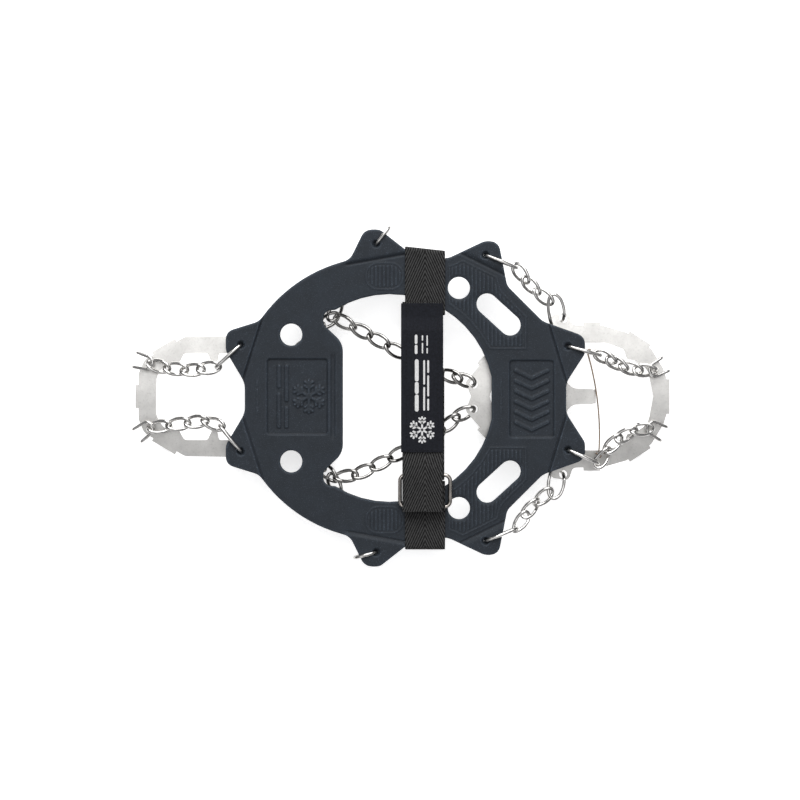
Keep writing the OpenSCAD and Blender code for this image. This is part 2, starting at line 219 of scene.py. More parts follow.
def rubber_material():
    """Dark slate rubber with dust in its grain, painted shade in its grooves and painted highlights on
    its edges.
    """
    shader = Shader("moulded_rubber", roughness=0.6, Specular_IOR_Level=0.2)
    slate = (0.80, 1.0, 1.28)
    cloudy = shader.noise(9, 4)
    base = shader.ramp(cloudy, (0.3, grey(0.022, slate)), (0.7, grey(0.031, slate)))
    dust = shader.ramp(shader.noise(0.55, 2), (0.58, 0.0), (0.76, 0.6))
    dusty = shader.mixed(base, (*grey(0.13, slate), 1), dust)
    # Painted shade in the grooves and painted highlights on the raised edges, from how sharply the
    # surface turns
    painted_groove_shade_and_edge_highlight = shader.edges((0.40, 0.25), (0.49, 0.9), (0.51, 1.0), (0.58, 2.4))
    shader.color(shader.mixed(dusty, painted_groove_shade_and_edge_highlight, blend="MULTIPLY"))
    shader.roughness(shader.ramp(cloudy, (0.3, 0.5), (0.7, 0.66)))
    shader.bump(shader.noise(0.35, 3), 0.05, 0.6)
    return shader.material


def wire_material(name, dark, light, tint, low=0.04, high=0.13):
    """Wire with darker and lighter patches, its roughness from low to high."""
    shader = Shader(name, metallic=1.0)
    patches = shader.noise(5, 4)
    shader.color(shader.ramp(patches, (0.3, grey(dark, tint)), (0.65, grey(light, tint))))
    shader.roughness(shader.ramp(shader.noise(1.3, 3), (0.3, low), (0.75, high)))
    shader.bump(shader.noise(0.7, 3), 0.02, 0.5)
    return shader.material


def sheet_material():
    """Tumbled stainless sheet: a fine grain, small pits, slightly cambered, with painted highlights on
    its edges and painted shade in its inner corners.
    """
    shader = Shader("tumbled_stainless", metallic=1.0)
    patches = shader.noise(14, 4)
    grain = shader.noise(0.5, 3, stretch=(0.08, 1, 1))
    tint = (1.0, 0.985, 0.955)
    base = shader.ramp(patches, (0.3, grey(0.26, tint)), (0.7, grey(0.34, tint)))
    pits = shader.ramp(shader.noise(1.1, 4), (0.30, 0.86), (0.46, 1.0))
    # Painted highlights on the bevelled edges and painted shade in the inner corners, from how sharply
    # the surface turns
    edge = shader.edges((0.44, 0.5), (0.5, 1.0), (0.56, 1.9))
    pitted = shader.mixed(base, pits, blend="MULTIPLY")
    shader.color(shader.mixed(pitted, edge, blend="MULTIPLY"))
    shader.roughness(shader.ramp(grain, (0.3, 0.28), (0.7, 0.44)))
    across = shader.axes()["Y"]
    camber = shader.math("MULTIPLY", shader.math("MULTIPLY", across, across), -CAMBER)
    shader.bump(camber, 1 / MM)
    shader.bump(grain, 0.03, 0.35)
    shader.bump(shader.noise(6, 3), 0.05, 0.3)
    return shader.material


def cloth_material(name, dark, light, tint=(1, 1, 1), thread=0.45, twill=False):
    """Woven cloth with a given thread width, as a herringbone where twill is set."""
    shader = Shader(name, roughness=0.85, Specular_IOR_Level=0.2, Sheen_Weight=0.04)
    axes = shader.axes()
    turns = 2 * math.pi / (thread * MM)
    warp = shader.math("SINE", shader.math("MULTIPLY", axes["X"], turns))
    weft = shader.math("SINE", shader.math("MULTIPLY", axes["Y"], turns))
    weave = shader.math("MULTIPLY", warp, weft)
    fuzz = shader.math("ADD", shader.math("MULTIPLY", weave, 0.25), shader.noise(1.2, 5))
    if twill:
        # The ridges climb to the strap's middle from both edges
        out = shader.math("ABSOLUTE", shader.math("SUBTRACT", axes["X"], STRAP_X))
        up = shader.math("MULTIPLY", shader.math("ADD", axes["Y"], axes["Z"]), TWILL_SLOPE)
        ridge_turns = 2 * math.pi / (TWILL_PITCH * MM)
        turn = shader.math("MULTIPLY", shader.math("ADD", out, up), ridge_turns)
        ridges = shader.math("SINE", turn)
        fuzz = shader.math("ADD", fuzz, shader.math("MULTIPLY", ridges, 0.34))
        shader.bump(ridges, 0.12, 0.9)
    shader.color(shader.ramp(fuzz, (0.25, grey(dark, tint)), (0.8, grey(light, tint))))
    shader.bump(weave, 0.05, 0.5)
    shader.bump(shader.noise(0.5, 4), 0.06, 0.6)
    return shader.material


def floor_material():
    """White, and lit from behind a little like a light table."""
    glow = {"Emission_Color": (1, 1, 1, 1), "Emission_Strength": 0.62}
    shader = Shader("white_floor", roughness=0.9, **glow)
    shader.color(shader.ramp(shader.noise(300, 2), (0.4, 0.93), (0.6, 0.95)))
    return shader.material


RUBBER = rubber_material()
STEEL_WIRE = wire_material("bright_wire", 0.38, 0.75, (1.0, 0.985, 0.96))
DARK_WIRE = wire_material("dark_wire", 0.16, 0.42, (1.0, 0.98, 0.95))
BUCKLE_WIRE = wire_material("buckle_wire_finish", 0.30, 0.60, (1.0, 0.93, 0.86))
BRONZE_WIRE = wire_material("bronze_wire_finish", 0.22, 0.36, (1.0, 0.76, 0.56), 0.22, 0.4)
SHEET_STEEL = sheet_material()
WEBBING = cloth_material("black_webbing", 0.0, 0.060, twill=True)
LABEL = cloth_material("navy_label", 0.006, 0.018, (0.85, 0.95, 1.35), thread=0.3)
THREAD = cloth_material("label_thread", 0.006, 0.012, (0.9, 0.95, 1.2), thread=0.2)
PRINT = cloth_material("white_print", 0.62, 0.80, thread=0.3)


# ---------------------------------------------------------------- mesh helpers

def new_object(name, mesh):
    piece = bpy.data.objects.new(name, mesh)
    bpy.context.scene.collection.objects.link(piece)
    return piece


def mesh_piece(name, vertices, faces, material, smooth=True):
    """A new object from vertices and faces, with its faces turned outwards."""
    mesh = bpy.data.meshes.new(name)
    mesh.from_pydata([tuple(v) for v in vertices], [], faces)
    mesh.materials.append(material)
    mesh.validate()
    clean = bmesh.new()
    clean.from_mesh(mesh)
    bmesh.ops.recalc_face_normals(clean, faces=clean.faces)
    clean.to_mesh(mesh)
    clean.free()
    if smooth:
        mesh.shade_smooth()
    else:
        mesh.shade_flat()
    return new_object(name, mesh)


def place(piece, body, slot, *replaced):
    """Puts a piece on its body and hides the CAD nodes that it stands for. Its finish, the slot argument,
    is not used.
    """
    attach(piece, body)
    if replaced:
        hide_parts(*replaced)


def apply_modifiers(piece):
    depsgraph = bpy.context.evaluated_depsgraph_get()
    mesh = bpy.data.meshes.new_from_object(piece.evaluated_get(depsgraph))
    piece.modifiers.clear()
    piece.data = mesh


def welded_copy(node):
    """A node's mesh with its split vertices joined."""
    work = bmesh.new()
    work.from_mesh(frame["nodes"][node].data)
    bmesh.ops.remove_doubles(work, verts=work.verts, dist=2e-6)
    return work


def grid_faces(rows, columns, wrap_rows=False, wrap_columns=False):
    """Faces between rows of vertices, where a wrapped grid joins its last ones to its first."""
    faces = []
    for i in range(rows if wrap_rows else rows - 1):
        for j in range(columns if wrap_columns else columns - 1):
            a, b = i * columns, (i + 1) % rows * columns
            k = (j + 1) % columns
            faces.append((a + j, a + k, b + k, b + j))
    return faces


def end_faces(rows, columns):
    """The two flat ends of a tube made by grid_faces."""
    last = (rows - 1) * columns
    return [tuple(range(columns)), tuple(reversed(range(last, last + columns)))]


def joined(parts):
    """Several lists of vertices and faces as one."""
    vertices, faces = [], []
    for part_vertices, part_faces in parts:
        start = len(vertices)
        vertices += part_vertices
        faces += [tuple(start + i for i in face) for face in part_faces]
    return vertices, faces


def body_of(node):
    bodies = frame["record"]["behaviour"]["bodies"]
    return next(name for name, nodes in bodies.items() if node in nodes)


# ---------------------------------------------------------------- chain links

WIRE_R = 1.1 * MM
WIRE_SIDES = 14
LINK_WIDE = 9 * MM
TWIST = math.radians(48)
LINK_STEPS = 48
# Power of the links' rounded-box outline: 2 is an ellipse, more is squarer
LINK_POWER = 2.3
WELD_SWELL = 0.10
WELD_LONG = 1.1 * MM
# Largest random roll and sideways shift of a link, from its place in the CAD chain
LOOSE_ROLL = math.radians(24)
LOOSE_SHIFT = 0.35 * MM
CHAIN_SEED = 4
DARK_CHAINS = ("mid", "rear", "arch")


def oval(long, wide):
    """Centreline of a link in its own plane."""
    points = []
    for i in range(LINK_STEPS):
        a = 2 * math.pi * i / LINK_STEPS
        x, y = (math.copysign(abs(v) ** (2 / LINK_POWER), v) for v in (math.cos(a), math.sin(a)))
        points.append(((long / 2 - WIRE_R) * x, (wide / 2 - WIRE_R) * y))
    return points


def wire_ring(middle, u, v, radius, turn=0.0):
    """One ring of a wire's vertices, in the plane of u and v."""
    ring = []
    for k in range(WIRE_SIDES):
        a = 2 * math.pi * k / WIRE_SIDES + turn
        ring.append(middle + (u * math.cos(a) + v * math.sin(a)) * radius)
    return ring


def tube(path, radii):
    """A round tube along a closed path. Its twist is spread out so that its last ring meets its first."""
    count = len(path)
    tangents = [(path[(i + 1) % count] - path[i - 1]).normalized() for i in range(count)]
    side = tangents[0].orthogonal().normalized()
    frames = []
    for tangent in tangents:
        side = (side - tangent * side.dot(tangent)).normalized()
        frames.append((side, tangent.cross(side)))
    spare = math.atan2(frames[0][0].dot(frames[-1][1]), frames[0][0].dot(frames[-1][0]))
    vertices = []
    for i, (u, v) in enumerate(frames):
        vertices += wire_ring(path[i], u, v, radii[i], spare * i / (count - 1))
    return vertices, grid_faces(count, WIRE_SIDES, wrap_rows=True, wrap_columns=True)


def open_tube(path, radius):
    """A round tube with flat ends along an open path."""
    count = len(path)
    side = (path[1] - path[0]).orthogonal().normalized()
    vertices = []
    for i, point in enumerate(path):
        tangent = (path[min(i + 1, count - 1)] - path[max(i - 1, 0)]).normalized()
        side = (side - tangent * side.dot(tangent)).normalized()
        vertices += wire_ring(point, side, tangent.cross(side), radius)
    faces = grid_faces(count, WIRE_SIDES, wrap_columns=True) + end_faces(count, WIRE_SIDES)
    return vertices, faces


def twisted_link(middle, along, across, long, wide, twist):
    """An oval link whose two ends are turned against each other about its length."""
    normal = along.cross(across)
    path, radii = [], []
    for x, y in oval(long, wide):
        a = twist * x / (long / 2)
        turned = across * math.cos(a) + normal * math.sin(a)
        path.append(middle + along * x + turned * y)
        weld = math.exp(-((x / WELD_LONG) ** 2)) if y > 0 else 0
        radii.append(WIRE_R * (1 + WELD_SWELL * weld))
    return tube(path, radii)


def connected(items, neighbours):
    """Groups of items that are joined through their neighbours, in the same order each run."""
    left = dict.fromkeys(items)
    groups = []
    while left:
        stack = [left.popitem()[0]]
        group = []
        while stack:
            item = stack.pop()
            group.append(item)
            for other in neighbours(item):
                if other in left:
                    del left[other]
                    stack.append(other)
        groups.append(group)
    return groups


def loose_parts(node):
    """The points of each separate part of a node, from the heel's end to the toe's."""
    work = welded_copy(node)
    groups = connected(work.verts, lambda v: [edge.other_vert(v) for edge in v.link_edges])
    parts = [[vertex.co.copy() for vertex in group] for group in groups]
    work.free()
    return sorted(parts, key=lambda part: min(tuple(point) for point in part))


def link_frame(points):
    """Middle, length direction and outer length of one link, from its own vertices."""
    cloud = np.array([tuple(p) for p in points])
    middle = (cloud.max(axis=0) + cloud.min(axis=0)) / 2
    far = cloud[np.argmax(((cloud - middle) ** 2).sum(axis=1))]
    axis = far - middle
    # Starts towards the farthest point, and settles on the middles of the link's two ends
    for _ in range(8):
        axis = axis / np.linalg.norm(axis)
        reach = (cloud - middle) @ axis
        ends = cloud[np.abs(reach) > 0.9 * np.abs(reach).max()]
        signs = np.sign((ends - middle) @ axis)[:, None]
        axis = ((ends - middle) * signs).mean(axis=0)
    axis = axis / np.linalg.norm(axis)
    reach = (cloud - middle) @ axis
    middle = middle + axis * (reach.max() + reach.min()) / 2
    return Vector(middle), Vector(axis), reach.max() - reach.min()


def build_chain(node, rng):
    """Replaces a chain's plain links with twisted ones that lie a little at random."""
    parts = []
    for points in loose_parts(node):
        middle, along, long = link_frame(points)
        if along.x < 0:
            along = -along
        level = UP.cross(along).normalized()
        roll, shift = rng.uniform(-1, 1, 2)
        across = Matrix.Rotation(roll * LOOSE_ROLL, 3, along) @ level
        middle += level * (shift * LOOSE_SHIFT)
        parts.append(twisted_link(middle, along, across, long, LINK_WIDE, TWIST))
    finish = DARK_WIRE if node.startswith(DARK_CHAINS) else STEEL_WIRE
    piece = mesh_piece(f"{node}_links", *joined(parts), finish)
    place(piece, body_of(node), "chain_steel", node)


def build_ring(node):
    """A lug ring stands on edge, so its width is its height."""
    low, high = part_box(node)
    (points,) = loose_parts(node)
    middle, along, long = link_frame(points)
    upright = along.cross(UP.cross(along)).normalized()
    ring = twisted_link(middle, along, upright, long, high[2] - low[2], 0)
    piece = mesh_piece(f"{node}_wire", *ring, STEEL_WIRE)
    place(piece, body_of(node), "chain_steel", node)


# The left ear link: points along its wire from the plate's hole, in mm
EAR_PATH = [
    (98.4, 47.6, 13.0), (98.8, 50.5, 15.4), (98.3, 55.0, 16.6), (96.2, 60.0, 17.2),
    (92.6, 62.3, 17.4), (89.7, 60.2, 17.2), (89.1, 55.0, 16.6), (89.8, 49.5, 16.0),
    (90.8, 45.4, 14.6), (92.4, 43.9, 11.9), (95.6, 45.2, 10.9), (97.8, 46.6, 11.3),
]
EAR_STEPS = 5
# The front plate lies this far to the left of the middle line
PLATE_SHIFT = 0.9


def smooth_loop(knots, steps):
    """A closed curve through the knots."""
    count = len(knots)
    points = []
    for i in range(count):
        a, b, c, d = (knots[(i + k) % count] for k in (-1, 0, 1, 2))
        for k in range(steps):
            t = k / steps
            points.append(b + (c - a) * (t / 2) + (a * 2 - b * 5 + c * 4 - d) * (t * t / 2)
                          + (b * 3 - a - c * 3 + d) * (t ** 3 / 2))
    return points


def build_ear_link(side):
    path_mm = EAR_PATH if side == "left" else [(x, 2 * PLATE_SHIFT - y, z) for x, y, z in EAR_PATH]
    path = smooth_loop([Vector(point) * MM for point in path_mm], EAR_STEPS)
    piece = mesh_piece(f"ear_link_{side}_wire", *tube(path, [WIRE_R] * len(path)), STEEL_WIRE)
    place(piece, body_of(f"ear_link_{side}"), "chain_steel", f"ear_link_{side}")


# The thin wire's two curls: the middle in mm, and the direction of the wire it goes round in degrees
CURLS = [((112.7, 27.6, 17.7), -15.5), ((119.3, -33.6, 21.15), 55)]
CURL_R = 1.8
CURL_TURNS = 1.3
CURL_PITCH = 1.0
SPREADER_R = 0.45 * MM
SPREADER_BOW = 2.8
CURL_STEPS = 26
RUN_STEPS = 30


def curl(middle, aim, turns):
    """Points of a curl in mm, from its lowest point. It winds the other way for less than 0 turns."""
    a = math.radians(aim)
    axis = Vector((math.cos(a), math.sin(a), 0))
    side = UP.cross(axis)
    points = []
    for i in range(CURL_STEPS):
        turn = turns * i / CURL_STEPS
        angle = 2 * math.pi * turn
        points.append(Vector(middle) + axis * (CURL_PITCH * turn)
                      + (side * math.sin(angle) - UP * math.cos(angle)) * CURL_R)
    return points


def build_spreader():
    """The thin wire between the two toe chains: a curl at each end, and a bowed run between them."""
    start = curl(*CURLS[0], CURL_TURNS)
    start.reverse()
    end = curl(*CURLS[1], -CURL_TURNS)
    a, b = start[-1], end[0]
    run = []
    for i in range(1, RUN_STEPS):
        t = i / RUN_STEPS
        run.append(a.lerp(b, t) + Vector((SPREADER_BOW * 4 * t * (1 - t), 0, 0)))
    path = [p * MM for p in start + run + end]
    piece = mesh_piece("spreader_wire", *open_tube(path, SPREADER_R), BRONZE_WIRE)
    place(piece, "toe_spreader_wire", "bronze_wire", "toe_spreader_wire")


# ---------------------------------------------------------------- rubber harness

VOXEL = 0.5 * MM
LOOP_STEP = 0.3 * MM
# All the lengths of the relief are in mm
EDGE_ROUND = 1.1
# The relief fades out between these distances from an edge
EDGE_FADE = (0.3, 1.6)
# The relief moves the rubber's upper part: not at all below the first share of its height, and
# fully above the second
UPPER = (0.35, 0.9)
BACK_RECESS = (-79.8, -43.2, -21.9, 23.7)
FRONT_RECESS = (65.4, 92.4, -23.7, 22.8)
RECESS_DEPTH = 1.0
RECESS_SLOPE = (-0.3, 0.7)
PATTERN_RISE = 0.75
BACK_FLAKE = ((-54.6, 1.0), 9.6)
BACK_BARS = [
    ((-72.5, -17), (-72.5, 2)), ((-72.5, 7), (-72.5, 19)),
    ((-68.0, -17), (-68.0, -6)), ((-68.0, -1), (-68.0, 19)),
]
CHEVRONS = 6
CHEVRON_LOW = -19.0
CHEVRON_PITCH = 6.2
CHEVRON_RISE = 4.5
CHEVRON_X = (69.5, 78.9, 88.3)
DASH_X = (-85.5, 60.6)
DASH_Y = (-9, -3.5, 2, 7.5)
DASH_LONG = 3.2
DASH_HEIGHT = 0.22
GROOVE_X = -40.2
GROOVE_DEPTH = 0.65
# Ribs beside the strap on the front half, and in a small patch on the back half
RIB_PITCH = 2.4
RIB_HEIGHT = 0.45
RIM_HEIGHT = 0.35
FRONT_RIBS = (29.5, 75.5)
FRONT_RIBS_FROM = 29.5
BACK_RIBS = (-20.5, 2.0, 65.0, 81.0)
RIB_FADE = (1.2, 1.8)
# Creases across the bases of the left lugs: two ends, the lug's hole, and the width of the slope
LUG_CREASES = [
    ((89.8, 41.9), (98.2, 14.0), (100.6, 31.0), 0.9),
    ((35.8, 86.8), (62.4, 73.7), (51.2, 85.6), 3.4),
    ((-27.0, 80.6), (4.4, 86.2), (-14.3, 92.3), 2.6),
    ((-83.4, 44.4), (-91.8, 18.0), (-95.2, 32.0), 0.9),
]
LUG_REACH = 24
LUG_RISE = 0.9
LUG_BEAD = 0.55
# The rubber closes in round the ring in each lug's hole, from its own radius to the wire's
LUG_HOLE_R = 2.1
LUG_HOLE_CLOSED = 1.05
LUG_HOLE_REACH = 4.4


def smooth(value, low, high):
    """Rises smoothly from 0 at low to 1 at high."""
    t = np.clip((value - low) / (high - low), 0, 1)
    return t * t * (3 - 2 * t)


def segment_distance(x, y, a, b):
    ax, ay = a
    dx, dy = b[0] - ax, b[1] - ay
    t = np.clip(((x - ax) * dx + (y - ay) * dy) / (dx * dx + dy * dy), 0, 1)
    return np.hypot(x - ax - t * dx, y - ay - t * dy)


def box_inside(x, y, box, corner=2.0):
    """Distance inside a rounded rectangle, negative outside it."""
    x0, x1, y0, y1 = box
    qx = np.abs(x - (x0 + x1) / 2) - (x1 - x0) / 2 + corner
    qy = np.abs(y - (y0 + y1) / 2) - (y1 - y0) / 2 + corner
    outside = np.hypot(np.maximum(qx, 0), np.maximum(qy, 0)) + np.minimum(np.maximum(qx, qy), 0)
    return corner - outside


def ridge(distance, half):
    """A rounded bead along a line."""
    return np.clip(1 - np.abs(distance) / half, 0, 1) ** 0.7


def snowflake_lines(middle, radius):
    """A six-armed flake with two pairs of twigs on each arm."""
    twig = 0.28 * radius
    lines = []
    for k in range(6):
        a = math.radians(60 * k + 30)
        tip = (middle[0] + radius * math.cos(a), middle[1] + radius * math.sin(a))
        lines.append((middle, tip))
        for at in (0.5, 0.75):
            root = (middle[0] + at * radius * math.cos(a), middle[1] + at * radius * math.sin(a))
            for turn in (55, -55):
                b = a + math.radians(turn)
                lines.append((root, (root[0] + twig * math.cos(b), root[1] + twig * math.sin(b))))
    return lines


def relief_of(x, y, lines, half_width):
    """1 on the lines, and 0 away from them, with sloping flanks."""
    nearest = np.full(x.shape, 1e3)
    for a, b in lines:
        nearest = np.minimum(nearest, segment_distance(x, y, a, b))
    return smooth(-nearest, -half_width - 0.45, -half_width + 0.15)


def recess(x, y, box, pattern):
    """A moulded recess with a raised pattern on its floor."""
    inside = box_inside(x, y, box)
    return PATTERN_RISE * pattern * (inside > 1) - RECESS_DEPTH * smooth(inside, *RECESS_SLOPE)


def recess_relief(x, y):
    """Heights of the two recesses, the short dashes at the ends and the groove by the opening."""
    flake = relief_of(x, y, snowflake_lines(*BACK_FLAKE), 0.7)
    bars = relief_of(x, y, BACK_BARS, 0.9)
    left, middle, right = CHEVRON_X
    chevrons = []
    for k in range(CHEVRONS):
        low = CHEVRON_LOW + CHEVRON_PITCH * k
        high = low + CHEVRON_RISE
        chevrons += [((left, high), (middle, low)), ((middle, low), (right, high))]
    dashes = [((at, low), (at, low + DASH_LONG)) for at in DASH_X for low in DASH_Y]
    height = recess(x, y, BACK_RECESS, np.maximum(flake, bars))
    height += recess(x, y, FRONT_RECESS, relief_of(x, y, chevrons, 1.0))
    height += DASH_HEIGHT * relief_of(x, y, dashes, 0.45)
    groove = smooth(-np.abs(x - GROOVE_X), -1.7, -0.9) * smooth(-np.abs(y - 1), -27, -22)
    return height - GROOVE_DEPTH * groove


def rib_relief(x, y, outer, opening, holes):
    """Heights of the ribbed patches beside the strap and round the front vents."""
    wide = np.abs(y)
    (ax, ay), (bx, by), *_ = LUG_CREASES[1]
    dx, dy = bx - ax, by - ay
    past_crease = ((wide - ay) * dx - (x - ax) * dy) / math.hypot(dx, dy)
    low, high = FRONT_RIBS
    limits = [outer - 5, opening - 4.5, x - low, high - x, wide - FRONT_RIBS_FROM, -past_crease - 3.2]
    front = np.minimum.reduce(limits)
    back = np.minimum(box_inside(x, wide, BACK_RIBS, corner=7.5), opening - 2.5)
    inside = np.maximum(front, back)
    wave = 0.5 + 0.5 * np.cos(2 * np.pi * x / RIB_PITCH)
    ribs = RIB_HEIGHT * wave ** 1.5 * smooth(inside, *RIB_FADE) * smooth(holes, *RIB_FADE)
    return ribs + RIM_HEIGHT * ridge(inside - 0.2, 0.6)


def lug_relief(x, y):
    """Each lug stands a little higher than the rubber behind its crease."""
    height = np.zeros_like(x)
    for sign in (1, -1):
        for a, b, hole, slope in LUG_CREASES:
            dx, dy = b[0] - a[0], b[1] - a[1]
            length = math.hypot(dx, dy)
            outwards = math.copysign(1 / length, (hole[0] - a[0]) * dy - (hole[1] - a[1]) * dx)
            distance = ((x - a[0]) * dy - (y * sign - a[1]) * dx) * outwards
            near = smooth(-np.hypot(x - hole[0], y * sign - hole[1]), -LUG_REACH, -LUG_REACH + 4)
            lug = LUG_RISE * smooth(distance, 0, slope) - LUG_BEAD * ridge(distance, 0.9)
            height += lug * near
    return height


def close_lug_holes(points, upper):
    """Draws the lower part of each lug's hole in towards the ring's wire."""
    for sign in (1, -1):
        for *_, (hole_x, hole_y), _ in LUG_CREASES:
            dx = points[:, 0] - hole_x * MM
            dy = points[:, 1] - hole_y * sign * MM
            r = np.maximum(np.hypot(dx, dy), 1e-6) / MM
            share = 1 - np.clip((r - LUG_HOLE_R) / (LUG_HOLE_REACH - LUG_HOLE_R), 0, 1)
            pull = (LUG_HOLE_R - LUG_HOLE_CLOSED) * share * (1 - smooth(upper, *UPPER))
            points[:, 0] -= dx / r * pull
            points[:, 1] -= dy / r * pull


def is_top(face, top):
    return face.normal.z > 0.9 and face.calc_center_median().z > top - 0.1 * MM


def loops_of_top(work, top):
    """Edges of the top face as separate closed loops of points, largest first."""
    work.normal_update()
    edges = [edge for edge in work.edges if sum(is_top(face, top) for face in edge.link_faces) == 1]
    loops = []
    for loop in connected(edges, lambda e: [other for v in e.verts for other in v.link_edges]):
        points = []
        for edge in loop:
            a, b = (v.co for v in edge.verts)
            steps = max(1, int((b - a).length / LOOP_STEP))
            points += [a.lerp(b, i / steps) for i in range(steps)]
        loops.append(points)
    loops.sort(key=lambda loop: max((point - loop[0]).length for point in loop), reverse=True)
    return loops


def distances_to(points, cloud):
    """The distance in mm from each place in a cloud to the nearest point, seen from above."""
    tree = kdtree.KDTree(len(points))
    for i, point in enumerate(points):
        tree.insert((point.x, point.y, 0), i)
    tree.balance()
    return np.array([tree.find((x, y, 0))[2] for x, y in cloud]) / MM


def shape_top(points, upper, loops):
    """Raises and lowers the top of the rubber by its relief, and rounds its edges."""
    outer, opening, *holes = loops
    moved = upper > UPPER[0]
    cloud = points[moved][:, :2]
    x, y = cloud.T / MM
    to_outer = distances_to(outer, cloud)
    to_opening = distances_to(opening, cloud)
    to_holes = distances_to([point for hole in holes for point in hole], cloud)
    edge = np.minimum(np.minimum(to_outer, to_opening), to_holes)
    relief = recess_relief(x, y) + rib_relief(x, y, to_outer, to_opening, to_holes)
    height = lug_relief(x, y) + relief * smooth(edge, *EDGE_FADE)
    inset = np.clip(EDGE_ROUND - edge, 0, EDGE_ROUND)
    height -= EDGE_ROUND - np.sqrt(EDGE_ROUND ** 2 - inset ** 2)
    points[moved, 2] += height * MM * smooth(upper[moved], *UPPER)


def build_harness():
    low, high = (Vector(v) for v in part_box("harness"))
    work = welded_copy("harness")
    loops = loops_of_top(work, high.z)
    mesh = bpy.data.meshes.new("harness_rubber")
    work.to_mesh(mesh)
    work.free()
    piece = new_object("harness_rubber", mesh)
    remesh = piece.modifiers.new("voxels", "REMESH")
    remesh.mode = "VOXEL"
    remesh.voxel_size = VOXEL
    apply_modifiers(piece)
    mesh = piece.data
    points = np.empty(len(mesh.vertices) * 3)
    mesh.vertices.foreach_get("co", points)
    points = points.reshape(-1, 3)
    upper = np.clip((points[:, 2] - low.z) / (high.z - low.z), 0, 1)
    close_lug_holes(points, upper)
    shape_top(points, upper, loops)
    mesh.vertices.foreach_set("co", points.ravel())
    mesh.materials.clear()
    mesh.materials.append(RUBBER)
    mesh.shade_smooth()
    mesh.update()
    place(piece, "harness", "harness_rubber", "harness")


# ---------------------------------------------------------------- sheet steel

PLATE_BEVEL = 0.22 * MM


def build_plate(node):
    """A plate's own shape, with its flat faces merged and its edges bevelled."""
    work = welded_copy(node)
    bmesh.ops.dissolve_limit(work, angle_limit=math.radians(1), verts=work.verts, edges=work.edges)
    mesh = bpy.data.meshes.new(f"{node}_sheet")
    work.to_mesh(mesh)
    work.free()
    mesh.materials.clear()
    mesh.materials.append(SHEET_STEEL)
    piece = new_object(f"{node}_sheet", mesh)
    bevel = piece.modifiers.new("edges", "BEVEL")
    bevel.width = PLATE_BEVEL
    bevel.segments = 2
    bevel.limit_method = "ANGLE"
    bevel.angle_limit = math.radians(40)
    bevel.harden_normals = True
    apply_modifiers(piece)
    place(piece, body_of(node), "stainless_plate", node)


# ---------------------------------------------------------------- webbing

STRAP_W = 24 * MM
WEB_T = 1.3 * MM
WEB_GAP = 0.3 * MM
BUCKLE_R = 1.2 * MM
WEAVE_STEP = 0.3 * MM
CORNER_STEPS = 8
# A band's edges thin down over this width, to this share of its thickness squared
SELVEDGE = 0.7 * MM
SELVEDGE_LEFT = 0.15
# How far out the loops round the harness reach. The upper one slants back towards the toe
WRAP_INNER_Y = 49.6 * MM
UPPER_WRAP_Y = 89.6 * MM
LOWER_WRAP_Y = 90.8 * MM
WRAP_SLANT = 0.11
# The flap lies a little to the heel of the rest of the strap
FLAP_X = 13.4 * MM
HARNESS_LOW, HARNESS_HIGH = (corner[2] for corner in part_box("harness"))
BUCKLE_Z = HARNESS_HIGH + WEB_GAP + 2.5 * MM
BUCKLE_OUTER_Y = -65 * MM
BUCKLE_INNER_Y = -46 * MM
# The sleeve round the outer bar is tight, and the fold round the inner one is loose
SLEEVE_SLACK = 0.05 * MM
FOLD_SLACK = 0.6 * MM
FOLD_END_Y = 16 * MM
FOLD_W = STRAP_W - 1 * MM
FOLD_T = WEB_T * 0.97
FOLD_STEPS = 16
# The flap's middle height at its root, over the buckle's webbing, over its inner bar, and at its tip
ROOT_Z = HARNESS_HIGH + 2 * WEB_GAP + 1.5 * WEB_T
RUN_Z = BUCKLE_Z + 2.25 * MM
HUMP_Z = BUCKLE_Z + 4.05 * MM
TIP_Z = BUCKLE_Z + 3.5 * MM


def resampled(path, step, closed):
    """Evenly spaced points along a path."""
    points = [Vector(p) for p in path]
    if closed:
        points.append(points[0])
    lengths = [0.0]
    for a, b in zip(points, points[1:]):
        lengths.append(lengths[-1] + (b - a).length)
    count = max(8, int(lengths[-1] / step))
    out = []
    k = 0
    for i in range(count if closed else count + 1):
        s = lengths[-1] * i / count
        while k < len(points) - 2 and lengths[k + 1] < s:
            k += 1
        t = (s - lengths[k]) / max(lengths[k + 1] - lengths[k], 1e-9)
        out.append(points[k].lerp(points[k + 1], t))
    return out


def rounded_path(corners, closed):
    """A path in the strap's side view. Each corner is its y, z and radius, and 0 keeps it sharp."""
    count = len(corners)
    out = []
    for i, (y, z, r) in enumerate(corners):
        at = Vector((y, z))
        if r == 0 or (not closed and i in (0, count - 1)):
            out.append(at)
            continue
        before = (Vector(corners[i - 1][:2]) - at).normalized()
        after = (Vector(corners[(i + 1) % count][:2]) - at).normalized()
        half = math.acos(max(-1, min(1, before.dot(after)))) / 2
        reach = r / math.tan(half)
        start, end = at + before * reach, at + after * reach
        for k in range(CORNER_STEPS + 1):
            t = k / CORNER_STEPS
            out.append(start.lerp(at, t).lerp(at.lerp(end, t), t))
    return out


